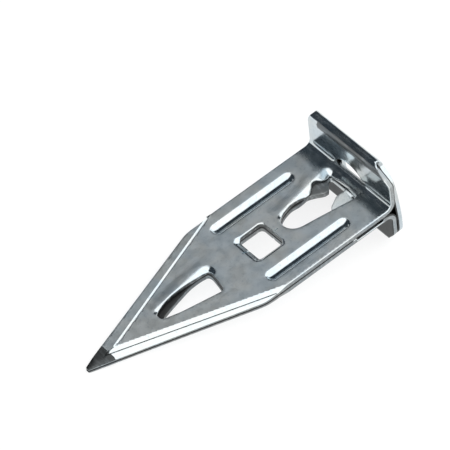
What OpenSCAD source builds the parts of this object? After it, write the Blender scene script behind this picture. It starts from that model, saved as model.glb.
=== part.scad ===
// Hammer-in drywall anchor: one strip of zinc-plated sheet steel, folded to a
// T head and two leaves that lie face to face and end in a spear point.
// Local frame of the strip: X across the leaves, Y from the point to the head,
// Z out of the front leaf, mid-plane between the leaves at Z = 0.

/* [Sheet] */
// Thickness of the steel sheet
sheet_t = 0.7; // [0.6:0.05:0.8]
// Clear gap between the two leaves
leaf_gap = 0.1; // [0.06:0.02:0.2]
// Clear gap inside the folded edges of the head
hem_gap = 0.1; // [0.06:0.02:0.2]
// Inside radius of the bend from leaf to flange
bend_r = 0.8; // [0.6:0.1:1.1]

/* [Leaves] */
// Length from the point to the outer face of the head
overall_len = 41.4; // [40.4:0.2:46]
// Width of the strip
strip_w = 14.1; // [13.2:0.1:15.4]
// Length of the tapered point
taper_len = 20.8; // [19.5:0.1:22.5]
// Width of the blunt end of the point
tip_w = 0.5; // [0.3:0.05:0.8]
// Width of the thinned cutting edge along the taper
edge_w = 1.2; // [0.9:0.05:1.3]
// Drop of each outer face across the cutting edge
edge_drop = 0.42; // [0.2:0.02:0.46]
// Length of the thinned nose at the very point
nose_len = 3.2; // [2.6:0.1:3.8]
// Drop of each outer face along the nose
nose_drop = 0.45; // [0.3:0.05:0.5]

/* [Head] */
// Height of the head across the leaves
head_h = 11.8; // [11.2:0.1:12.8]
// Sideways size of the upper corner cut in the flange
upper_cut_w = 2.9; // [2:0.1:3.2]
// Height of the upper corner cut in the flange
upper_cut_h = 1.6; // [1.2:0.1:2]
// Sideways size of the upper corner cut in the outer plate
plate_cut_w = 3.4; // [2.6:0.1:3.6]
// Height of the upper corner cut in the outer plate
plate_cut_h = 2.3; // [1.8:0.1:2.6]
// Sideways lean of the outer plate's edge below that cut
plate_lean_w = 1.0; // [0.4:0.1:1.2]
// Height over which the outer plate's edge leans
plate_lean_h = 5.4; // [4:0.1:6]
// Sideways size of the lower corner cut
lower_cut_w = 1.4; // [1:0.1:2]
// Height of the lower corner cut
lower_cut_h = 1.9; // [1.4:0.1:2.2]
// Size of the small cuts at the other two corners
small_cut = 0.45; // [0.2:0.05:0.8]
// Diameter of the screw hole in the outer plate
hole_d = 5.2; // [4.8:0.1:5.6]
// Diameter of the clearance hole through flanges and bends
clear_d = 5.8; // [5.6:0.1:6.2]

/* [Grooves] */
// Width of each stiffening groove
groove_w = 1.4; // [1:0.05:1.6]
// Depth of each stiffening groove
groove_depth = 0.36; // [0.2:0.02:0.4]
// Length of each stiffening groove
groove_len = 12.2; // [10:0.1:13]
// Distance of each groove from the centre line
groove_x = 4.8; // [4.6:0.05:5]
// Distance of the groove middle from the outer face of the head
groove_back = 12.3; // [11.8:0.1:12.8]

/* [Window] */
// Width of the middle window
window_w = 4.0; // [3.4:0.1:4.2]
// Length of the middle window
window_len = 3.6; // [3:0.1:3.8]
// Distance of the window middle from the outer face of the head
window_back = 15.2; // [14.9:0.1:15.4]
// Corner radius of the middle window
window_r = 0.6; // [0.4:0.05:0.7]
// Size of the rolled rim around the window
window_rim = 0.4; // [0.2:0.05:0.45]

/* [Guides] */
// Width of the upper guide opening at the head
upper_w = 4.8; // [4.4:0.1:5]
// Width of the upper guide opening at its narrow end
upper_w_narrow = 2.7; // [2.4:0.1:2.9]
// Length of the upper guide opening
upper_len = 9.1; // [8.6:0.1:9.2]
// Sideways shift of the upper opening from the centre line
upper_mid = 0.4; // [0.3:0.05:0.5]
// Width of the rolled rim beside the upper opening at the head
upper_roll_w = 1.5; // [1.2:0.1:1.6]
// Width of the lower guide opening at its wide end
lower_w = 3.5; // [3.2:0.1:3.8]
// Width of the lower guide opening at its narrow end
lower_w_narrow = 1.4; // [1.2:0.1:1.6]
// Length of the lower guide opening
lower_len = 8.4; // [8:0.1:8.6]
// Distance of the lower opening's wide end from the shoulders
lower_back = 2.0; // [1.8:0.1:2.4]
// Sideways shift of the lower opening from the centre line
lower_mid = 0.5; // [0.3:0.05:0.7]
// Width of the rolled rim beside the lower opening at its wide end
lower_roll_w = 0.85; // [0.6:0.05:1]
// Drop of the rolled rims where they meet the openings
roll_drop = 0.4; // [0.3:0.02:0.5]
// Radius of the notch in the upper opening of the front leaf
notch_r = 0.65; // [0.4:0.05:0.8]
// Distance of notch and tooth from the head end of the upper opening
notch_back = 2.4; // [2:0.1:2.6]
// Reach of the tooth in the upper opening of the back leaf
tooth_reach = 1.1; // [0.6:0.1:1.3]
// Length of the web that narrows the upper opening of the back leaf at the head
web_len = 2.9; // [2.4:0.1:3.2]
// Width of that web
web_w = 2.2; // [1.6:0.1:2.4]
// Height over the mid-plane of the bridge between the clearance hole and the leaf
bridge_z = 1.0; // [0.9:0.05:1.2]

/* [Hidden] */
$fn = 64;
eps = 0.01;
far = 60;
face_z = leaf_gap / 2 + sheet_t;
hem_r = sheet_t + hem_gap / 2;
hem_y = overall_len - hem_r;
flange_y = hem_y - hem_r;
bend_y = flange_y - bend_r;
bend_z = face_z + bend_r;
plate_in_y = overall_len - sheet_t;
hem_z = head_h / 2 - hem_r;
half_w = strip_w / 2;
taper_rise = half_w - tip_w / 2;
taper_ang = atan(taper_rise / taper_len);
groove_y = overall_len - groove_back;
window_y = overall_len - window_back;
lower_y = taper_len - lower_back;
groove_r = (pow(groove_depth, 2) + pow(groove_w / 2, 2)) / (2 * groove_depth);
groove_end = groove_len / 2 - groove_w / 2;
root_gap = 0.5;
upper_y = bend_y - root_gap;
narrow_shift = 0.6;
narrow_roll = 0.5;

// Rest tilt: the folded lower edge of the head and the start of the nose both
// touch the floor.
rest_a = hem_y - nose_len;
rest_b = head_h / 2 - hem_r - face_z;
rest_tilt = atan(rest_b / rest_a) + asin(hem_r / sqrt(pow(rest_a, 2) + pow(rest_b, 2)));
rest_lift = face_z * cos(rest_tilt) - nose_len * sin(rest_tilt);
tip_z = face_z - nose_drop;
front_y = -tip_z * sin(rest_tilt);
back_y = hem_y * cos(rest_tilt) + hem_z * sin(rest_tilt) + hem_r;
mid_y = (front_y + back_y) / 2;

// Cross-section of one half of the strip: leaf, bend, flange, fold and plate.
module half_section() {
    translate([0, leaf_gap / 2]) square([bend_y + eps, sheet_t]);
    intersection() {
        translate([bend_y, bend_z]) difference() {
            circle(r = bend_r + sheet_t);
            circle(r = bend_r);
        }
        translate([bend_y, leaf_gap / 2]) square([bend_r + sheet_t, bend_r + sheet_t]);
    }
    translate([flange_y, bend_z - eps]) square([sheet_t, hem_z - bend_z + 2 * eps]);
    intersection() {
        translate([hem_y, hem_z]) difference() {
            circle(r = hem_r);
            circle(r = hem_gap / 2);
        }
        translate([hem_y - hem_r, hem_z]) square([2 * hem_r, hem_r]);
    }
    translate([plate_in_y, -eps]) square([sheet_t, hem_z + 2 * eps]);
}

// The whole folded strip at full width.
module strip() {
    rotate([90, 0, 90]) linear_extrude(height = strip_w, center = true) {
        half_section();
        mirror([0, 1]) half_section();
    }
}

// Plan outline with the spear point.
module plan() {
    linear_extrude(height = head_h + 2, center = true)
        polygon([
            [-tip_w / 2, 0],
            [tip_w / 2, 0],
            [half_w, taper_len],
            [half_w, overall_len + 1],
            [-half_w, overall_len + 1],
            [-half_w, taper_len]
        ]);
}

// What is cut away at a right-hand corner of the head, from height y up.
module corner_cut(y, w, h) {
    translate([half_w, y, head_h / 2])
        rotate([-90, 0, 0]) linear_extrude(height = far)
            polygon([[-w, -1], [-w, 0], [0, h], [1, h + h / w], [1, -1]]);
}

// What is cut away beside the outer plate: the corner, then the leaning edge.
module plate_cut() {
    low = plate_cut_h + plate_lean_h;
    translate([half_w, hem_y, head_h / 2])
        rotate([-90, 0, 0]) linear_extrude(height = far)
            polygon([
                [-plate_cut_w, -1],
                [-plate_cut_w, 0],
                [-plate_lean_w, plate_cut_h],
                [-plate_lean_w / 2, low - 3 * plate_lean_h / 5],
                [0, low],
                [1, low],
                [1, -1]
            ]);
}

// Wedge over one tapered edge: it thins the sheet to the cutting edge.
module edge_wedge() {
    translate([tip_w / 2, 0, 0]) rotate([0, 0, -taper_ang])
        rotate([90, 0, 0]) translate([0, 0, -far / 2]) linear_extrude(height = far)
            polygon([
                [-edge_w, face_z],
                [2, face_z - edge_drop * (edge_w + 2) / edge_w],
                [2, face_z + 2],
                [-edge_w, face_z + 2]
            ]);
}

// Wedge over the nose, shallow along the length.
module nose_wedge() {
    rotate([90, 0, 90]) linear_extrude(height = strip_w, center = true)
        polygon([
            [nose_len, face_z],
            [-2, face_z - nose_drop * (nose_len + 2) / nose_len],
            [-2, face_z + 2],
            [nose_len, face_z + 2]
        ]);
}

// One round-ended groove.
module groove(x) {
    translate([x, groove_y, face_z - groove_depth + groove_r]) {
        rotate([90, 0, 0]) cylinder(r = groove_r, h = 2 * groove_end, center = true);
        translate([0, groove_end, 0]) sphere(r = groove_r);
        translate([0, -groove_end, 0]) sphere(r = groove_r);
    }
}

// Window through both leaves, with round corners.
module window_core() {
    translate([0, window_y, 0]) linear_extrude(height = 4 * face_z, center = true) {
        square([window_w - 2 * window_r, window_len], center = true);
        square([window_w, window_len - 2 * window_r], center = true);
        for (sx = [-1, 1]) {
            for (sy = [-1, 1]) {
                translate([sx * (window_w / 2 - window_r), sy * (window_len / 2 - window_r)])
                    circle(r = window_r);
            }
        }
    }
}

// Sloping rims of the window on the outer face, continued round its corners.
module window_rims() {
    side = window_rim * sqrt(2);
    straight_x = window_w / 2 - window_r;
    straight_y = window_len / 2 - window_r;
    translate([0, window_y, 0]) {
        for (s = [-1, 1]) {
            translate([s * window_w / 2, 0, face_z]) rotate([0, 45, 0])
                cube([side, 2 * straight_y, side], center = true);
            translate([0, s * window_len / 2, face_z]) rotate([45, 0, 0])
                cube([2 * straight_x, side, side], center = true);
            for (t = [-1, 1]) {
                translate([s * straight_x, t * straight_y, face_z - window_rim])
                    cylinder(r1 = window_r, r2 = window_r + window_rim + eps, h = window_rim + eps);
            }
        }
    }
}

// Plan of a guide opening that narrows towards the point, with a round narrow end.
module guide_plan(y1, len, w1, w0, mid) {
    y0 = y1 - len + w0 / 2;
    polygon([
        [narrow_shift * mid - w0 / 2, y0],
        [narrow_shift * mid + w0 / 2, y0],
        [mid + w1 / 2, y1],
        [mid - w1 / 2, y1]
    ]);
    translate([narrow_shift * mid, y0]) circle(r = w0 / 2);
}

// Slope of the rolled rim on the left of an opening: the face drops towards it.
module rolled_rim(y1, len, w1, w0, mid, roll) {
    y0 = y1 - len + w0 / 2;
    x0 = narrow_shift * mid - w0 / 2 - narrow_roll * roll;
    x1 = mid - w1 / 2 - roll;
    intersection() {
        translate([x0, y0, face_z]) rotate([0, atan(roll_drop / roll), atan((x0 - x1) / (y1 - y0))])
            cube([roll + w0 / 2, y1 - y0 + roll, face_z]);
        translate([-far / 2, 0, 0]) cube([far, y1, far]);
    }
}

// Upper opening of the front leaf, with its notch.
module upper_front() {
    linear_extrude(height = face_z + 1) {
        guide_plan(upper_y, upper_len, upper_w, upper_w_narrow, upper_mid);
        translate([upper_mid - upper_w / 2 + notch_r / 4, upper_y - notch_back]) circle(r = notch_r);
    }
}

// Upper opening of the back leaf, narrowed by a tooth and by a web at the head.
module upper_back() {
    left = upper_mid - upper_w / 2;
    right = upper_mid + upper_w / 2;
    tooth_y = upper_y - notch_back;
    translate([0, 0, -face_z - 1]) linear_extrude(height = face_z + 1) difference() {
        guide_plan(upper_y, upper_len, upper_w, upper_w_narrow, upper_mid);
        polygon([
            [left - 1, tooth_y - 2 * tooth_reach],
            [left + tooth_reach / 3, tooth_y - tooth_reach],
            [left + tooth_reach + notch_r / 2, tooth_y + tooth_reach / 2],
            [left + notch_r / 2, tooth_y + 3 * tooth_reach / 2],
            [left - 1, tooth_y + 3 * tooth_reach / 2]
        ]);
        polygon([
            [right + 1, upper_y - web_len],
            [right - 2 * web_w / 3, upper_y - web_len],
            [right - web_w, upper_y - web_len / 2],
            [right - web_w, upper_y + 1],
            [right + 1, upper_y + 1]
        ]);
    }
}

// Both guides: openings through the leaves and the rolled rims of the front leaf.
module guides() {
    upper_front();
    upper_back();
    rolled_rim(upper_y, upper_len, upper_w, upper_w_narrow, upper_mid, upper_roll_w);
    linear_extrude(height = 2 * face_z + 2, center = true)
        guide_plan(lower_y, lower_len, lower_w, lower_w_narrow, lower_mid);
    rolled_rim(lower_y, lower_len, lower_w, lower_w_narrow, lower_mid, lower_roll_w);
}

// Round clearance through flanges and bends, stopped at the bridge beside each leaf.
module clearance() {
    difference() {
        translate([0, plate_in_y, 0]) rotate([90, 0, 0])
            cylinder(d = clear_d, h = plate_in_y - upper_y);
        translate([-far / 2, 0, -bridge_z]) cube([far, far, 2 * bridge_z]);
    }
}

module anchor_local() {
    difference() {
        intersection() {
            strip();
            plan();
        }
        corner_cut(bend_y, upper_cut_w, upper_cut_h);
        plate_cut();
        mirror([0, 0, 1]) corner_cut(bend_y, lower_cut_w, lower_cut_h);
        rotate([0, 180, 0]) corner_cut(bend_y, small_cut, small_cut);
        mirror([1, 0, 0]) corner_cut(bend_y, small_cut, small_cut);
        for (side = [0, 1]) {
            rotate([0, 180 * side, 0]) {
                edge_wedge();
                mirror([1, 0, 0]) edge_wedge();
                nose_wedge();
                groove(groove_x);
                groove(-groove_x);
                window_rims();
            }
        }
        window_core();
        translate([0, overall_len + 1, 0]) rotate([90, 0, 0]) cylinder(d = hole_d, h = sheet_t + 1 + eps);
        clearance();
        guides();
    }
}

// The anchor as it lies at rest, middle of its bounding box over the origin.
module anchor() {
    color("Silver")
        translate([0, -mid_y, rest_lift]) rotate([rest_tilt, 0, 0]) anchor_local();
}

anchor();
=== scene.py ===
import math

import bpy
import numpy as np
from mathutils import Matrix, Vector, kdtree
from mathutils.geometry import delaunay_2d_cdt


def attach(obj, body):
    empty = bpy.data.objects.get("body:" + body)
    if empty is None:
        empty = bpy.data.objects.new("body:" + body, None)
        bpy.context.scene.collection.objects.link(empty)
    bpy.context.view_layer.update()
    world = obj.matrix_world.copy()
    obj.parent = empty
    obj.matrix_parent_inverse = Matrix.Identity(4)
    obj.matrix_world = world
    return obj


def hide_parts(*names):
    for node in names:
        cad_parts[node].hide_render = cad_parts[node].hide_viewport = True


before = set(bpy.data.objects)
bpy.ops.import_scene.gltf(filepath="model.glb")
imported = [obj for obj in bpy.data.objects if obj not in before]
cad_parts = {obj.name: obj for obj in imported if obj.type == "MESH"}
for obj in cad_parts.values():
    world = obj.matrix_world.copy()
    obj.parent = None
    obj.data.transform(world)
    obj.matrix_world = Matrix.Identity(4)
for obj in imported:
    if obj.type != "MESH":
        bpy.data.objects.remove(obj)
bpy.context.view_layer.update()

MM = 0.001

# The anchor is one strip of sheet steel, folded double. All sizes are in millimetres.
# x runs across the strip, y from the nose to the head, and z through the two leaves.
# s is the distance along the strip, from the front nose over the head to the back nose,
# and t is the distance along it from the nearer nose.
SHEET = 0.7  # thickness
LEAF_GAP = 0.1  # between the two leaves
HEM_GAP = 0.1  # between a flange and the head plate folded over it
BEND_IN = 0.8  # inner radius of the bend from a leaf to its flange
LENGTH = 41.4
HALF_WIDTH = 7.05
TAPER = 20.8  # length of the spear end
TIP_HALF = 0.25  # half width of the nose
HEAD_HEIGHT = 11.8
HOLE_RADIUS = 2.6  # screw hole in the head plate
CLEAR_RADIUS = 2.9  # clearance hole in the flanges
BRIDGE_Z = 1.0  # the clearance hole stops this far from the middle plane

FACE_Z = LEAF_GAP / 2 + SHEET
HEM_OUT = SHEET + HEM_GAP / 2
HEM_Y = LENGTH - HEM_OUT
FLANGE_Y = HEM_Y - HEM_OUT
BEND_Y = FLANGE_Y - BEND_IN
BEND_Z = FACE_Z + BEND_IN
HEM_Z = HEAD_HEIGHT / 2 - HEM_OUT
BEND_MID = BEND_IN + SHEET / 2
HEM_MID = HEM_OUT - SHEET / 2

# Distances along the strip where one form gives way to the next.
S_BEND = BEND_Y
S_FLANGE = S_BEND + BEND_MID * math.pi / 2
S_HEM = S_FLANGE + HEM_Z - BEND_Z
S_PLATE = S_HEM + HEM_MID * math.pi
S_MIDDLE = S_PLATE + HEM_Z
S_END = 2 * S_MIDDLE

# The anchor rests on the folded edge of its head and on its thinned nose.
NOSE = 3.2  # length of the thinning
NOSE_DROP = 0.45  # thickness taken off at the tip
REST_RUN = HEM_Y - NOSE
REST_RISE = HEAD_HEIGHT / 2 - HEM_OUT - FACE_Z
TILT = math.atan(REST_RISE / REST_RUN) + math.asin(HEM_OUT / math.hypot(REST_RUN, REST_RISE))
LIFT = FACE_Z * math.cos(TILT) - NOSE * math.sin(TILT)
MID_Y = (
    -(FACE_Z - NOSE_DROP) * math.sin(TILT)
    + HEM_Y * math.cos(TILT) + HEM_Z * math.sin(TILT) + HEM_OUT
) / 2

# Grooves pressed into each leaf, one on each side of the middle.
GROOVE_DEEP = 0.36
GROOVE_HALF = 0.72  # half width of the round form, before its two sides are set
GROOVE_LEFT = 0.62  # half width on its left
GROOVE_RIGHT = 0.82  # and on its right
GROOVE_SIDE = 4.8  # from the middle of the leaf
GROOVE_SHIFT = 0.1  # both grooves lie this far to the left
GROOVE_MIDDLE = 29.1
GROOVE_RUN = 5.4  # half length of the straight part
GROOVE_BLEND = 0.14
GROOVE_OUTSIDE = 3  # slope that keeps the form clear of the sheet beyond the groove

# Coined band along both edges of the spear.
BAND_START = 3.8  # y where its line leaves the middle
BAND_RUN = 20.3  # y over which its line reaches the full width
BAND_END = 25.5
EDGE_LEAN = math.cos(math.atan((HALF_WIDTH - TIP_HALF) / TAPER))
EDGE_ROWS = [-0.22, 0.0, 0.08, 0.24, 0.42, 0.48, 0.6, 0.72]  # out from its line, at right angles
BEAD_HEIGHTS = [0.0, 0.07, -0.25]  # left band, at the first three rows
SHOULDER_HEIGHTS = [0.0, -0.03, -0.13, -0.25, -0.25, -0.22, -0.25]  # right band, from the second row
LEDGE_SLOPE = 0.2

# Rolled rims on the left of the two openings that guide the screw, on the front leaf only.
LOWER_GUIDE = {
    "run": (11.0, 18.6),  # y where the two lines below start and end
    "hinge": (-0.9, -1.95),  # x of the line where the sheet starts to roll
    "wall": (-0.45, -1.05),  # x of the rolled edge
    "start": 10.2,
    "soft": 1.1,  # length over which the rim rises from its start
    "end": 19.6,
    "close": 1.2,  # length over which it dies away before its end
    "drop": 0.42,
    "swell": 0.03,
    "reach": 1.3,  # width of the swell
    "split": 0.1,  # x of the right-hand limit
}
UPPER_GUIDE = {
    "run": (30.6, 38.4),
    "hinge": (-1.75, -3.42),
    "wall": (-1.05, -1.95),
    "start": 29.6,
    "soft": 1.2,
    "end": 39.15,
    "close": 0.8,
    "drop": 0.46,
    "swell": 0.02,
    "reach": 1.1,
    "split": -0.3,
}
NARROW_DROP = 0.45  # share of the drop at the narrow end of a rim
EVEN_ROLL = 0.12  # share of the roll that is an even slope
ROLL_POWER = 2.8
ROLL_LIMIT = 1.02
THINNEST_RIM = 0.1
RIM_FADE = 0.9

# Rolled rim round the middle window.
WINDOW_Y = 26.2
WINDOW_FLAT_X = 1.5  # half lengths of its straight sides
WINDOW_FLAT_Y = 1.3
WINDOW_CORNER = 0.5
WINDOW_SLOPE = 0.54
WINDOW_BLEND = 0.03
WINDOW_RIM = 0.04  # width of the rim where it is narrowest
WINDOW_RIM_POINT = 0.76  # added on the side of the point
WINDOW_RIM_RIGHT = 0.26  # added on the right

# Raised lip round the clearance hole in each flange.
LIP_HEIGHT = 0.2
LIP_WIDTH = 1.2
LIP_POWER = 1.4
LIP_EASE = 0.3

# Web of the back leaf, on the right of its upper opening; its inner face slopes away.
WEB_X = 0.2
WEB_RUN = (34.5, 38.6)
# Run along the strip of the lighter painted shade on the web's inner face.
WEB_SHADE_RUN = (34, 38.7)
WEB_START = 0.5
WEB_WIDTH = 2
WEB_SLOPE = 0.22

# Points of the mesh on the flat strip.
CUT_STEP = 0.16  # along the cut edges
FINE_STEP = 0.15
WIDE_STEP = 0.34
STAGGER = 0.866  # row spacing of even triangles, as a share of their side
WORN_RINGS = (0.035, 0.09)  # rings of points behind each cut edge
WORN_AWAY = [0.075, 0.02, 0]  # taken off at the edge itself and at each ring
HEAD_WEAR = 2.2  # times as much on the inner face of the head
RING_CLEAR = 0.8  # a ring keeps this share of its depth from every cut edge
GRID_CLEAR = 0.15
BAND_CLEAR = 0.12
DEEP = 1.0  # depth given to every point behind the rings
BAND_ROWS = (2.7, 24.0)
BAND_STEP = 0.13
BAND_MIDDLE_CLEAR = 0.06
GRID_BAND_CLEAR = 0.06
GRID_BAND_END = 24.3
ARC_STEPS = 5
ARC_SHARE = 0.45  # the most of a side that one rounded corner may take
SMALLEST_ARC = 0.02
FLANGE_HOLE_STEPS = 32
SCREW_HOLE_STEPS = 72
SLOPE_STEP = 0.02
LEAF_STOP = 0.02  # the forms of a leaf end this far before its bend

# Zones of small faces.
FINE_GROOVE_X = 0.95
FINE_GROOVE_Y = 6.5
FINE_GUIDE_X = (-4.9, 0.9)
FINE_LOWER_GUIDE = (9.9, 19.6)
FINE_UPPER_GUIDE = (29.8, 39.2)
FINE_WINDOW_X = 2.9
FINE_WINDOW_Y = (23.3, 28.8)
FINE_BAND = (-0.25, 0.75)
FINE_BAND_END = 24.6
FINE_BEND = 0.2
FINE_HEM = 0.15

# How dark a face is painted, from 0 for bright plate to 1 for the darkest: on the outer and inner faces this
# is painted shade, on the cut edges partly the dark of sheared steel and partly painted shade.
SHADE_NOSE = 0.96
SHADE_HEM = 0.8
SHADE_BACK_FLANGE = 0.97
SHADE_INSIDE = 0.98
SHADE_WEB_LEFT = 0.7
SHADE_WEB_RIGHT = 0.12
# The cut edges: partly the dark of sheared steel, partly painted shade that changes from place to place.
DARK_PLATE_EDGE = 0.05
DARK_FLANGE_EDGE = 0.5
DARK_GUIDE_TOP = 0.1
DARK_FRONT_OPENING = 0.92
DARK_BACK_OPENING = 0.72
DARK_EDGE = 0.62
HEM_HALF = 0.3  # half width of the painted shade line where a flange meets its hem
HEM_LEFT = -5.4  # x where it starts
FLANGE_EDGE_START = 0.2
OPENING_HALF = 3.4
OPENING_START = 10
GUIDE_TOP = 38.2

# How much the sheet has been worked, and so polished, from 0 for flat to 1.
FORMED_GAIN = 5
GROOVE_TOUCH = 0.01
HEAD_SHINE = 0.7
HEAD_SHINE_START = 36.6
HEAD_SHINE_RUN = 2.4

# Camera.
AZIMUTH = 47.656
ELEVATION = 44.834
ROLL = 1.988
TARGET = Vector((-6.417, 5.198, 2.0)) * MM
DISTANCE = 700.63 * MM
SENSOR = 36.0
IMAGE_WIDTH = 450.0
LENS = 6089.884 * SENSOR / IMAGE_WIDTH

# Room.
FLOOR_HALF = 0.6
FLOOR_COLOUR = (0.22, 0.22, 0.22, 1)
GLOW_COLOUR = (1, 1, 1, 1)
TENT_COLOUR = (1.0, 1.0, 1.0, 1)
PANEL_COLOUR = (0.02, 0.026, 0.032, 1)
TENT_STRENGTH = 1.7

# Zinc plate.
ZINC_COOL = (0.53, 0.605, 0.65, 1)
ZINC_WARM = (0.59, 0.62, 0.615, 1)
ZINC_PALE = (0.70, 0.74, 0.76, 1)
PIT_COLOUR = (0.30, 0.37, 0.43, 1)
# Colour of the painted shade and of sheared steel.
SHADE_AND_SHEARED_COLOUR = (0.04, 0.042, 0.042, 1)
GRAIN_SCALE = (9000.0, 500.0, 9000.0)
SHEAR_SCALE = (450.0, 2800.0, 2800.0)
BUMP_HEIGHT = 0.00002
CREASE_ANGLE = 38


def from_nose(s):
    """Distance along the strip from the nearer nose."""
    return np.minimum(s, S_END - s)


def between(value, low, high):
    return (value > low) & (value < high)


def strip_frame(s):
    """Middle of the sheet and its outward normal at each distance s along the strip."""
    back = s > S_MIDDLE
    t = np.where(back, S_END - s, s)
    a = (t - S_BEND) / BEND_MID
    b = (t - S_HEM) / HEM_MID
    zone = [t < S_BEND, t < S_FLANGE, t < S_HEM, t < S_PLATE]
    y = np.select(zone, [
        t,
        BEND_Y + BEND_MID * np.sin(a),
        FLANGE_Y + SHEET / 2 + 0 * t,
        HEM_Y - HEM_MID * np.cos(b),
    ], HEM_Y + HEM_MID)
    z = np.select(zone, [
        FACE_Z - SHEET / 2 + 0 * t,
        BEND_Z - BEND_MID * np.cos(a),
        BEND_Z + t - S_FLANGE,
        HEM_Z + HEM_MID * np.sin(b),
    ], HEM_Z - (t - S_PLATE))
    ny = np.select(zone, [0 * t, -np.sin(a), -1 + 0 * t, -np.cos(b)], 1.0)
    nz = np.select(zone, [1 + 0 * t, np.cos(a), 0 * t, np.sin(b)], 0.0)
    flip = np.where(back, -1.0, 1.0)
    return y, z * flip, ny, nz * flip


def smooth_max(a, b, k):
    return np.maximum(a, b) + np.maximum(k - np.abs(a - b), 0) ** 2 / (4 * k)


def smooth_min(a, b, k):
    return -smooth_max(-a, -b, k)


def ease(t):
    """Smooth step from 0 to 1."""
    t = np.clip(t, 0, 1)
    return t * t * (3 - 2 * t)


def groove_height(x, y):
    """A long groove with round ends on each side of the middle, pressed into the outer face."""
    radius = (GROOVE_DEEP ** 2 + GROOVE_HALF ** 2) / (2 * GROOVE_DEEP)
    across = x - np.sign(x) * GROOVE_SIDE + GROOVE_SHIFT
    across = across * np.where(across < 0, GROOVE_HALF / GROOVE_LEFT, GROOVE_HALF / GROOVE_RIGHT)
    d = np.hypot(across, np.maximum(np.abs(y - GROOVE_MIDDLE) - GROOVE_RUN, 0))
    arc = np.sqrt(np.maximum(radius ** 2 - d ** 2, 0))
    bowl = radius - GROOVE_DEEP - arc + np.maximum(d - radius, 0) * GROOVE_OUTSIDE
    return smooth_min(0 * x, bowl, GROOVE_BLEND)


def band_line(y):
    """How far from the middle the edge band's line runs."""
    return HALF_WIDTH * (y - BAND_START) / BAND_RUN


def edge_out(x, y):
    """How far a place lies outside the edge band's line."""
    return (np.abs(x) - band_line(y)) * EDGE_LEAN


def edge_height(x, y):
    """The edge bands, with a bead on the left and a shoulder and ledge on the right, and the thin nose."""
    out = edge_out(x, y)
    shoulder = np.interp(out, EDGE_ROWS[1:], SHOULDER_HEIGHTS)
    ledge = shoulder - LEDGE_SLOPE * np.maximum(out - EDGE_ROWS[-1], 0)
    bead = np.interp(out, EDGE_ROWS[:3], BEAD_HEIGHTS)
    band = np.where(x > 0, ledge, bead)
    band = np.where(y > BAND_END, 0, band)
    nose = -NOSE_DROP * np.clip(1 - y / NOSE, 0, 1)
    return np.where(y > NOSE, band, np.minimum(band, nose))


def rim_height(x, y, guide):
    """A gentle swell on the left of a guide opening, then a roll-off towards the opening."""
    low, high = guide["run"]
    t = np.clip((y - low) / (high - low), 0, 1)
    hinge = guide["hinge"][0] + (guide["hinge"][1] - guide["hinge"][0]) * t
    wall = guide["wall"][0] + (guide["wall"][1] - guide["wall"][0]) * t
    d = x - hinge
    ends = ease((y - guide["start"]) / guide["soft"]) * ease((guide["end"] - y) / guide["close"])
    drop = guide["drop"] * (NARROW_DROP + (1 - NARROW_DROP) * t)
    share = np.clip(d / np.maximum(wall - hinge, THINNEST_RIM), 0, ROLL_LIMIT)
    roll = -drop * (EVEN_ROLL * share + (1 - EVEN_ROLL) * share ** ROLL_POWER)
    swell = guide["swell"] * ease(1 + d / guide["reach"])
    right = ease((guide["split"] - x) / RIM_FADE)
    return (roll + swell) * ends * right


def window_height(x, y):
    """Rolled rim round the middle window, widest on the side of the point."""
    dx = np.maximum(np.abs(x) - WINDOW_FLAT_X, 0)
    dy = np.maximum(np.abs(y - WINDOW_Y) - WINDOW_FLAT_Y, 0)
    reach = np.hypot(dx, dy)
    along = dy / np.maximum(reach, 0.01)
    across = dx / np.maximum(reach, 0.01)
    point = WINDOW_RIM_POINT * along ** 2 * (y < WINDOW_Y)
    right = WINDOW_RIM_RIGHT * across ** 2 * (x > 0)
    wide = WINDOW_RIM + point + right
    return smooth_min(0 * x, WINDOW_SLOPE * (reach - WINDOW_CORNER - wide), WINDOW_BLEND)


def leaf_height(x, y, front):
    """Height of the outer face over the flat leaf; only the front leaf has rolled guide rims."""
    height = groove_height(x, y) + window_height(x, y) + edge_height(x, y)
    rims = rim_height(x, y, LOWER_GUIDE) + rim_height(x, y, UPPER_GUIDE)
    return height + np.where(front, rims, 0)


def face_height(x, s):
    """Height of the outer face at any place on the strip, front or back."""
    t = from_nose(s)
    on_leaf = t < S_BEND - LEAF_STOP
    ring = np.hypot(x, BEND_Z + t - S_FLANGE) - CLEAR_RADIUS
    lip = LIP_HEIGHT * np.clip(1 - ring / LIP_WIDTH, 0, 1) ** LIP_POWER
    lip = lip * ease((t - S_FLANGE) / LIP_EASE) * (t < S_HEM)
    return np.where(on_leaf, leaf_height(x, np.minimum(t, S_BEND), s < S_MIDDLE), lip)


def loop_points(corners, step):
    """Evenly spaced points along a closed outline, with every corner kept."""
    points = []
    for (x0, y0), (x1, y1) in zip(corners, corners[1:] + corners[:1]):
        count = max(1, round(math.hypot(x1 - x0, y1 - y0) / step))
        points += [(x0 + (x1 - x0) * k / count, y0 + (y1 - y0) * k / count) for k in range(count)]
    return points


def rounded(corners, usual):
    """A closed outline with rounded corners, each given as (x, y) or as (x, y, its own rounding)."""
    points = []
    count = len(corners)
    for i, corner in enumerate(corners):
        here = np.array(corner[:2], float)
        wanted = corner[2] if len(corner) > 2 else usual
        before = np.array(corners[i - 1][:2], float) - here
        after = np.array(corners[(i + 1) % count][:2], float) - here
        length_before = np.linalg.norm(before)
        length_after = np.linalg.norm(after)
        cut = min(wanted, ARC_SHARE * length_before, ARC_SHARE * length_after)
        if cut < SMALLEST_ARC:
            points.append(tuple(here))
            continue
        first = here + before / length_before * cut
        last = here + after / length_after * cut
        for k in range(ARC_STEPS + 1):
            t = k / ARC_STEPS
            points.append(tuple((1 - t) ** 2 * first + 2 * t * (1 - t) * here + t * t * last))
    return points


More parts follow.
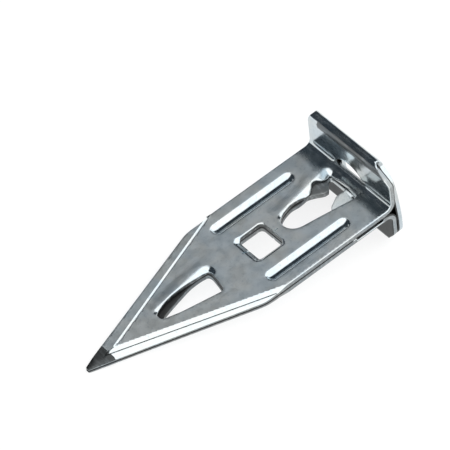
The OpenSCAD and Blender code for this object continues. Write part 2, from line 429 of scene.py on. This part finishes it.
def strip_outline():
    """Outline of the flat strip, with the notches at the folds of its head."""
    front_fold = S_HEM + HEM_MID * math.pi / 2
    back_fold = S_END - front_fold
    right = [
        (TIP_HALF, 0), (HALF_WIDTH, TAPER, 0.8), (HALF_WIDTH, S_HEM - 0.85, 0.5), (5.6, S_HEM, 0.4),
        (3.95, front_fold, 0.3), (4.35, S_PLATE, 0.3), (6.05, S_PLATE + 1.55, 0.8),
        (6.6, S_PLATE + 3.7, 1.5), (HALF_WIDTH, S_MIDDLE + 1.8, 1.5), (HALF_WIDTH, S_MIDDLE + 4.0, 0.6),
        (6.2, S_END - S_PLATE, 0.3), (5.65, back_fold, 0.2), (6.2, S_END - S_HEM, 0.3),
        (HALF_WIDTH, S_END - S_HEM + 1.1, 0.5), (HALF_WIDTH, S_END - TAPER, 0.8), (TIP_HALF, S_END)]
    left = [
        (-TIP_HALF, S_END), (-HALF_WIDTH, S_END - TAPER, 0.8), (-HALF_WIDTH, back_fold + 0.7, 0.4),
        (-6.6, back_fold, 0.2), (-HALF_WIDTH, back_fold - 0.7, 0.4), (-HALF_WIDTH, front_fold + 0.7, 0.4),
        (-6.6, front_fold, 0.2), (-HALF_WIDTH, front_fold - 0.7, 0.4), (-HALF_WIDTH, TAPER, 0.8),
        (-TIP_HALF, 0)]
    return rounded(right + left, 0.1)


def lower_hole(front):
    """Lower guide opening; the back leaf's is a little shorter."""
    if not front:
        return rounded([
            (0.45, 10.9, 0.3), (0.95, 11.1, 0.3), (1.5, 12.9, 0.5), (2.5, 18.15, 0.25), (2.35, 18.48, 0.2),
            (1.0, 18.8, 0.6), (-0.4, 19.05, 0.5), (-0.98, 18.9, 0.5), (-1.14, 17.7, 0.8), (-1.08, 16.2, 0.8),
            (-0.66, 14.3, 0.8), (-0.3, 12.8, 0.8), (0.02, 11.6, 0.5)], 0.2)
    return rounded([
        (0.0, 10.4, 0.4), (0.75, 10.5, 0.4), (0.95, 10.95, 0.3), (1.5, 12.8, 0.5), (2.5, 18.15, 0.25),
        (2.35, 18.48, 0.2), (1.0, 18.8, 0.6), (-0.4, 19.05, 0.5), (-0.98, 18.9, 0.5), (-1.08, 17.6, 0.8),
        (-1.18, 15.6, 0.8), (-1.1, 13.6, 0.8), (-0.9, 12.4, 0.6), (-0.45, 11.0, 0.4)], 0.2)


def upper_hole(front):
    """Upper guide opening; the back leaf keeps a web on its right."""
    if front:
        right = [
            (1.69, 30.64, 0.5), (2.1, 33.4, 0.5), (2.88, 38.1, 0.2), (2.7, 38.42, 0.15), (0.8, 38.62, 0.4)]
        left = [
            (-2.02, 38.5, 0.3), (-1.8, 37.95, 0.3), (-1.98, 37.1, 0.3), (-2.4, 36.6, 0.25),
            (-2.35, 35.95, 0.25), (-1.85, 35.5, 0.2), (-1.42, 34.9, 0.3), (-1.4, 34.3, 0.4),
            (-1.6, 33.4, 0.5)]
    else:
        right = [
            (1.69, 30.64, 0.5), (2.05, 33.4, 0.5), (1.9, 35.4, 0.3), (1.3, 35.65, 0.2), (0.6, 37.1, 0.2),
            (0.6, 38.5, 0.2)]
        left = [
            (-1.85, 38.5, 0.3), (-1.7, 37.9, 0.2), (-1.1, 37.5, 0.15), (-0.55, 36.95, 0.15),
            (-0.6, 36.4, 0.15), (-1.15, 35.5, 0.2), (-1.6, 34.6, 0.4), (-1.45, 33.4, 0.5)]
    low_end = [(-0.5, 29.5, 0.5), (0.45, 29.42, 0.5), (1.25, 29.85, 0.5)]
    return rounded(low_end + right + left + [(-1.65, 32.1, 0.6), (-1.25, 30.6, 0.5)], 0.2)


def flange_hole():
    """The clearance hole in a flange, stopped at the bridge beside the leaf."""
    points = []
    low = math.asin(BRIDGE_Z / CLEAR_RADIUS)
    for k in range(FLANGE_HOLE_STEPS + 1):
        angle = low + (math.pi - 2 * low) * k / FLANGE_HOLE_STEPS
        z = CLEAR_RADIUS * math.sin(angle)
        if z > BEND_Z:
            s = S_FLANGE + z - BEND_Z
        else:
            s = S_BEND + BEND_MID * math.acos((BEND_Z - z) / BEND_MID)
        points.append((CLEAR_RADIUS * math.cos(angle), s))
    return points


def window_hole():
    half, low, high = 2.0, 24.4, 28.0
    return rounded([(-half, low), (half, low), (half, high), (-half, high)], 0.6)


def screw_hole():
    angles = [2 * math.pi * k / SCREW_HOLE_STEPS for k in range(SCREW_HOLE_STEPS)]
    return [(HOLE_RADIUS * math.cos(a), S_MIDDLE + HOLE_RADIUS * math.sin(a)) for a in angles]


def back_of(loop):
    """The same opening on the back half of the strip."""
    return [(x, S_END - s) for x, s in loop]


def offset_loop(points, depth):
    """Points a little way into the sheet from its outline (the sheet lies to the left)."""
    p = np.array(points)
    ahead = np.roll(p, -1, 0) - np.roll(p, 1, 0)
    length = np.linalg.norm(ahead, axis=1, keepdims=True)
    normal = np.stack([-ahead[:, 1], ahead[:, 0]], 1) / np.maximum(length, 1e-9)
    return p + normal * depth


def area(points):
    """Area of a closed outline, positive when it runs anticlockwise."""
    p = np.array(points)
    q = np.roll(p, -1, 0)
    return 0.5 * float((p[:, 0] * q[:, 1] - q[:, 0] * p[:, 1]).sum())


def inside(points, loop):
    """Which points lie within a closed outline."""
    x, y = points[:, 0], points[:, 1]
    odd = np.zeros(len(points), bool)
    for (x0, y0), (x1, y1) in zip(loop, loop[1:] + loop[:1]):
        if y0 != y1:
            odd ^= ((y0 > y) != (y1 > y)) & (x < x0 + (x1 - x0) * (y - y0) / (y1 - y0))
    return odd


def fine_zones(x, s):
    """Where the sheet is bent or pressed and wants small faces."""
    t = from_nose(s)
    side = np.abs(x)
    groove = (np.abs(side - GROOVE_SIDE) < FINE_GROOVE_X) & (np.abs(t - GROOVE_MIDDLE) < FINE_GROOVE_Y)
    guide = between(t, *FINE_LOWER_GUIDE) | between(t, *FINE_UPPER_GUIDE)
    guide = guide & between(x, *FINE_GUIDE_X) & (s < S_MIDDLE)
    window = (side < FINE_WINDOW_X) & between(t, *FINE_WINDOW_Y)
    line = band_line(t)
    band = between(side, line + FINE_BAND[0], line + FINE_BAND[1]) & (t < FINE_BAND_END)
    bend = between(t, S_BEND - FINE_BEND, S_FLANGE + FINE_BEND)
    hem = between(t, S_HEM - FINE_HEM, S_PLATE + FINE_HEM)
    return groove | guide | window | band | bend | hem


def cut_loops():
    """The strip's outline and its openings, each with the sheet on its left."""
    outline = strip_outline()
    holes = [
        lower_hole(True), window_hole(), upper_hole(True), flange_hole(), screw_hole(),
        back_of(flange_hole()), back_of(upper_hole(False)), back_of(window_hole()),
        back_of(lower_hole(False))]
    loops = [outline if area(outline) > 0 else outline[::-1]]
    return loops + [hole[::-1] if area(hole) > 0 else hole for hole in holes]


def edge_points(loops):
    """Points along the cut edges, the lines that join them, and rings of points just behind them."""
    points, lines, rings = [], [], []
    for loop in loops:
        fine = loop_points(loop, CUT_STEP)
        first = len(points)
        count = len(fine)
        points += fine
        lines += [(first + k, first + (k + 1) % count) for k in range(count)]
        for depth in WORN_RINGS:
            clear = depth * RING_CLEAR
            rings += [(float(x), float(s), clear, depth) for x, s in offset_loop(fine, depth)]
    return points, lines, rings


def band_points():
    """Rows of points along the creases of the edge bands."""
    points = []
    for y in np.arange(*BAND_ROWS, BAND_STEP):
        for out in EDGE_ROWS:
            x = band_line(y) + out / EDGE_LEAN
            if x > BAND_MIDDLE_CLEAR:
                points += [(side * x, s, BAND_CLEAR, DEEP) for side in (1, -1) for s in (y, S_END - y)]
    return points


def grid_points():
    """Staggered rows of points, close in the fine zones and wide elsewhere."""
    points = []
    for step, wanted in ((FINE_STEP, True), (WIDE_STEP, False)):
        columns = int(2 * HALF_WIDTH / step)
        rows = int(S_END / (step * STAGGER))
        row, column = np.meshgrid(np.arange(rows + 1), np.arange(columns + 1), indexing="ij")
        x = (-HALF_WIDTH + (column + 0.5 * (row % 2)) * step).ravel()
        s = (row * step * STAGGER).ravel()
        t = from_nose(s)
        off_rows = np.abs(edge_out(x, t)[:, None] - np.array(EDGE_ROWS)).min(1) > GRID_BAND_CLEAR
        keep = (fine_zones(x, s) == wanted) & ((t > GRID_BAND_END) | off_rows)
        points += [(float(a), float(b), GRID_CLEAR, DEEP) for a, b in zip(x[keep], s[keep])]
    return points


def plan_triangles():
    """Triangles of the flat strip, and how far each corner lies from the nearest cut edge."""
    loops = cut_loops()
    points, lines, rings = edge_points(loops)
    depths = [0.0] * len(points)
    tree = kdtree.KDTree(len(points))
    for i, (x, s) in enumerate(points):
        tree.insert((x, s, 0), i)
    tree.balance()
    for x, s, clear, depth in rings + band_points() + grid_points():
        if abs(x) < HALF_WIDTH and tree.find((x, s, 0))[2] > clear:
            points.append((x, s))
            depths.append(depth)
    corners, _, faces, origins, _, _ = delaunay_2d_cdt([Vector(p) for p in points], lines, [], 2, 1e-6)
    flat = np.array([(corner.x, corner.y) for corner in corners])
    deep = np.array([min([depths[k] for k in origin] or [DEEP]) for origin in origins])
    tri = np.array([tuple(face) for face in faces], int)
    middle = flat[tri].mean(1)
    keep = np.ones(len(tri), bool)
    for hole in loops[1:]:
        keep &= ~inside(middle, hole)
    used, tri = np.unique(tri[keep], return_inverse=True)
    return flat[used], deep[used], tri.reshape(-1, 3)


def to_room(x, y, z):
    """From the strip's own frame in millimetres to the resting anchor in metres."""
    c, s = math.cos(TILT), math.sin(TILT)
    return np.stack([x, y * c - z * s - MID_Y, y * s + z * c + LIFT], -1) * MM


def painted_face_shade(x, s):
    """Painted shade of the outer faces at each place, and after them of the inner ones: the thinned nose, the
    line where each flange meets its hem, the back flange and the inner faces in the gaps, lighter on the back
    leaf's web.
    """
    t = from_nose(s)
    back = s > S_MIDDLE
    outer = np.where(t < NOSE, SHADE_NOSE, 0.0)
    outer = np.where(between(t, S_HEM - HEM_HALF, S_HEM + HEM_HALF) & (x > HEM_LEFT), SHADE_HEM, outer)
    outer = np.where(back & between(t, S_BEND, S_HEM), SHADE_BACK_FLANGE, outer)
    web = back & between(t, *WEB_SHADE_RUN)
    inner = np.where(web & (x > WEB_X), SHADE_WEB_RIGHT, SHADE_INSIDE)
    inner = np.where(web & (x < WEB_X), SHADE_WEB_LEFT, inner)
    return list(outer) + list(inner)


def edge_shear_and_shade(reach, s):
    """How dark a short run of cut edge is, from its reach to the side and its place along the strip: partly
    the dark of sheared steel, partly painted shade that changes from place to place.
    """
    t = from_nose(s)
    if t > S_PLATE:
        return DARK_PLATE_EDGE
    if t > S_BEND + FLANGE_EDGE_START:
        return DARK_FLANGE_EDGE
    if reach >= OPENING_HALF or t <= OPENING_START:
        return DARK_EDGE
    if t > GUIDE_TOP:
        return DARK_GUIDE_TOP
    return DARK_FRONT_OPENING if s < S_MIDDLE else DARK_BACK_OPENING


def formed_share(x, t, slope):
    """How much the sheet has been worked: most at steep places, in the grooves and in the head."""
    groove = (groove_height(x, t) < -GROOVE_TOUCH) * 1.0
    worked = np.maximum(np.clip(slope * FORMED_GAIN, 0, 1), groove)
    near_head = HEAD_SHINE * ease((t - HEAD_SHINE_START) / HEAD_SHINE_RUN)
    return np.maximum(worked, np.where(t < S_BEND, near_head, 1.0))


def sheet_mesh():
    """Both faces of the folded strip and the cut edges that join them."""
    flat, deep, tri = plan_triangles()
    x, s = flat[:, 0], flat[:, 1]
    t = from_nose(s)
    mid_y, mid_z, normal_y, normal_z = strip_frame(s)
    worn = np.interp(deep, [0, *WORN_RINGS], WORN_AWAY)
    up = SHEET / 2 + face_height(x, s) - worn
    down = SHEET / 2 - worn * np.where(t > S_BEND, HEAD_WEAR, 1.0)
    web = (s > S_MIDDLE) & (x > WEB_X) & between(t, *WEB_RUN)
    down = down - np.where(web, WEB_SLOPE * np.clip(x - WEB_START, 0, WEB_WIDTH), 0)
    outer = np.stack([x, mid_y + normal_y * up, mid_z + normal_z * up], 1)
    inner = np.stack([x, mid_y - normal_y * down, mid_z - normal_z * down], 1)
    points = np.concatenate([outer, inner])

    count = len(flat)
    faces = [tuple(face) for face in tri] + [(c + count, b + count, a + count) for a, b, c in tri]
    # Painted shade on the faces; the cut edges added below get the dark of sheared steel together with
    # painted shade.
    dark = painted_face_shade(x[tri].mean(1), s[tri].mean(1))
    sides = dict.fromkeys(side for a, b, c in tri for side in ((a, b), (b, c), (c, a)))
    for a, b in sides:
        if (b, a) not in sides:
            faces.append((b, a, a + count, b + count))
            dark.append(edge_shear_and_shade(max(abs(x[a]), abs(x[b])), (s[a] + s[b]) / 2))

    slope_x = (face_height(x + SLOPE_STEP, s) - face_height(x - SLOPE_STEP, s)) / (2 * SLOPE_STEP)
    slope_s = (face_height(x, s + SLOPE_STEP) - face_height(x, s - SLOPE_STEP)) / (2 * SLOPE_STEP)
    formed = formed_share(x, t, np.abs(slope_x) + np.abs(slope_s))
    room = to_room(points[:, 0], points[:, 1], points[:, 2])
    return room, faces, np.concatenate([formed, formed]), dark


def add_camera():
    az, el, roll = (math.radians(angle) for angle in (AZIMUTH, ELEVATION, ROLL))
    back = Vector((math.sin(az) * math.cos(el), -math.cos(az) * math.cos(el), math.sin(el)))
    level = Vector((math.cos(az), math.sin(az), 0.0))
    upright = back.cross(level)
    right = level * math.cos(roll) + upright * math.sin(roll)
    up = upright * math.cos(roll) - level * math.sin(roll)
    camera = bpy.data.objects.new("camera", bpy.data.cameras.new("camera"))
    camera.data.lens = LENS
    camera.data.sensor_width = SENSOR
    camera.data.clip_start = 0.01
    turn = Matrix((right, up, back)).transposed().to_4x4()
    camera.matrix_world = Matrix.Translation(TARGET + back * DISTANCE) @ turn
    bpy.context.collection.objects.link(camera)
    bpy.context.scene.camera = camera


def feed(tree, made, inputs):
    """Give a node's sockets their values or links."""
    for slot, value in inputs.items():
        if isinstance(value, Value):
            value = value.socket
        if isinstance(value, bpy.types.NodeSocket):
            tree.links.new(value, made.inputs[slot])
        else:
            made.inputs[slot].default_value = value


def node(tree, kind, settings=None, inputs=None):
    """A new node: its settings come first, then its sockets."""
    made = tree.nodes.new(kind)
    for name, value in (settings or {}).items():
        setattr(made, name, value)
    feed(tree, made, inputs or {})
    return made


class Value:
    """A number socket that can be used in ordinary arithmetic."""

    def __init__(self, tree, socket):
        self.tree = tree
        self.socket = socket

    def _math(self, operation, first, second):
        made = node(self.tree, "ShaderNodeMath", {"operation": operation}, {0: first, 1: second})
        return Value(self.tree, made.outputs[0])

    def __add__(self, other):
        return self._math("ADD", self, other)

    __radd__ = __add__

    def __sub__(self, other):
        return self._math("SUBTRACT", self, other)

    def __rsub__(self, other):
        return self._math("SUBTRACT", other, self)

    def __mul__(self, other):
        return self._math("MULTIPLY", self, other)

    __rmul__ = __mul__

    def ramp(self, low, high, start=0.0, end=1.0):
        """Smooth step: start where the value is low, and end where it is high."""
        settings = {"interpolation_type": "SMOOTHSTEP"}
        inputs = {"Value": self, "From Min": low, "From Max": high, "To Min": start, "To Max": end}
        made = node(self.tree, "ShaderNodeMapRange", settings, inputs)
        return Value(self.tree, made.outputs["Result"])


def mix(tree, factor, first, second):
    """A colour between two others."""
    inputs = {0: factor, 6: first, 7: second}
    return node(tree, "ShaderNodeMix", {"data_type": "RGBA"}, inputs).outputs[2]


def attribute(tree, name):
    """A number stored on the mesh."""
    made = node(tree, "ShaderNodeAttribute", {"attribute_name": name})
    return Value(tree, made.outputs["Fac"])


def noise(tree, place, scale, detail):
    """Cloudy pattern on the piece itself; three scales stretch it along x, y and z."""
    if isinstance(scale, tuple):
        place = node(tree, "ShaderNodeMapping", inputs={"Vector": place, "Scale": scale}).outputs[0]
        scale = 1.0
    made = node(tree, "ShaderNodeTexNoise", inputs={"Vector": place, "Scale": scale, "Detail": detail})
    return Value(tree, made.outputs["Fac"])


def floor_paper():
    mat = bpy.data.materials.new("floor_paper")
    mat.use_nodes = True
    tree = mat.node_tree
    feed(tree, tree.nodes["Principled BSDF"], {
        "Base Color": FLOOR_COLOUR,
        "Roughness": 0.9,
        "Specular IOR Level": 0.1,
        "Emission Color": GLOW_COLOUR,
        "Emission Strength": 0.8,
    })
    return mat


def add_floor():
    mesh = bpy.data.meshes.new("floor")
    half = FLOOR_HALF
    corners = [(-half, -half, 0), (half, -half, 0), (half, half, 0), (-half, half, 0)]
    mesh.from_pydata(corners, [], [(0, 1, 2, 3)])
    floor = bpy.data.objects.new("floor", mesh)
    bpy.context.collection.objects.link(floor)
    mesh.materials.append(floor_paper())


def add_world():
    """A bright tent with two soft dark panels on its left, the taller one towards the front."""
    world = bpy.data.worlds.new("studio")
    bpy.context.scene.world = world
    world.use_nodes = True
    tree = world.node_tree
    way = node(tree, "ShaderNodeTexCoord").outputs["Generated"]
    parts = node(tree, "ShaderNodeSeparateXYZ", inputs={"Vector": way})
    x, y, z = (Value(tree, parts.outputs[axis]) for axis in "XYZ")
    panel = x.ramp(-0.20, -0.36) * z.ramp(0.1, 0.25) * z.ramp(0.95, 0.88)
    front = x.ramp(-0.25, -0.42) * y.ramp(0.12, -0.22) * z.ramp(0.0, 0.15)
    dark = 1.0 - (1.0 - panel) * (1.0 - front)
    colour = mix(tree, dark, TENT_COLOUR, PANEL_COLOUR)
    feed(tree, tree.nodes["Background"], {"Color": colour, "Strength": TENT_STRENGTH})


def zinc_plate():
    """Zinc plate: cloudy, pitted and finely grained, polished where it is formed, with painted shade on the
    faces that the cut attribute marks and, on the cut edges, the dark of sheared steel mixed with painted
    shade.
    """
    mat = bpy.data.materials.new("zinc_plate")
    mat.use_nodes = True
    tree = mat.node_tree
    place = node(tree, "ShaderNodeTexCoord").outputs["Object"]
    formed = attribute(tree, "formed")
    cut = attribute(tree, "cut")
    cloud = noise(tree, place, 260.0, 3.0)
    patch = noise(tree, place, 900.0, 4.0)
    grain = noise(tree, place, GRAIN_SCALE, 2.0)
    pit = noise(tree, place, 3200.0, 2.0)
    shear = noise(tree, place, SHEAR_SCALE, 2.0)

    colour = mix(tree, cloud.ramp(0.35, 0.65), ZINC_COOL, ZINC_WARM)
    colour = mix(tree, patch.ramp(0.35, 0.7, 0.0, 0.3), colour, ZINC_PALE)
    colour = mix(tree, pit.ramp(0.53, 0.75, 0.0, 0.3), colour, PIT_COLOUR)
    # The cut attribute carries painted shade, and on the cut edges also the dark of sheared steel; the shear
    # noise gives the edges lighter stripes.
    even = cut.ramp(0.93, 0.97)
    dark = cut * (even + (1.0 - even) * shear.ramp(0.5, 0.64, 1.0, 0.72))
    colour = mix(tree, dark, colour, SHADE_AND_SHEARED_COLOUR)

    polish = 0.24 * formed.ramp(0.0, 0.8)
    rough = 0.36 - polish + 0.06 * patch.ramp(0.3, 0.7) + 0.04 * grain + 0.2 * cut
    relief = (grain * 0.6 + patch * 0.8 + pit * 0.3) * formed.ramp(0.1, 0.8, 1.0, 0.25)
    bump = node(tree, "ShaderNodeBump", inputs={"Strength": 0.5, "Distance": BUMP_HEIGHT, "Height": relief})
    feed(tree, tree.nodes["Principled BSDF"], {
        "Base Color": colour,
        "Metallic": 1.0,
        "Roughness": rough,
        "Normal": bump.outputs[0],
    })
    return mat


def add_anchor():
    points, faces, formed, dark = sheet_mesh()
    mesh = bpy.data.meshes.new("folded_anchor")
    mesh.from_pydata([tuple(point) for point in points], [], faces)
    mesh.attributes.new("formed", "FLOAT", "POINT").data.foreach_set("value", formed.astype(np.float32))
    # The cut attribute holds painted shade on the faces, and on the cut edges also the dark of sheared steel.
    mesh.attributes.new("cut", "FLOAT", "FACE").data.foreach_set("value", np.array(dark, np.float32))
    mesh.polygons.foreach_set("use_smooth", [True] * len(mesh.polygons))
    mesh.set_sharp_from_angle(angle=math.radians(CREASE_ANGLE))
    anchor = bpy.data.objects.new("folded_anchor", mesh)
    bpy.context.collection.objects.link(anchor)
    mesh.materials.append(zinc_plate())
    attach(anchor, "root")
    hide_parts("anchor")


bpy.context.scene.view_settings.view_transform = "Standard"
add_camera()
add_floor()
add_world()
add_anchor()
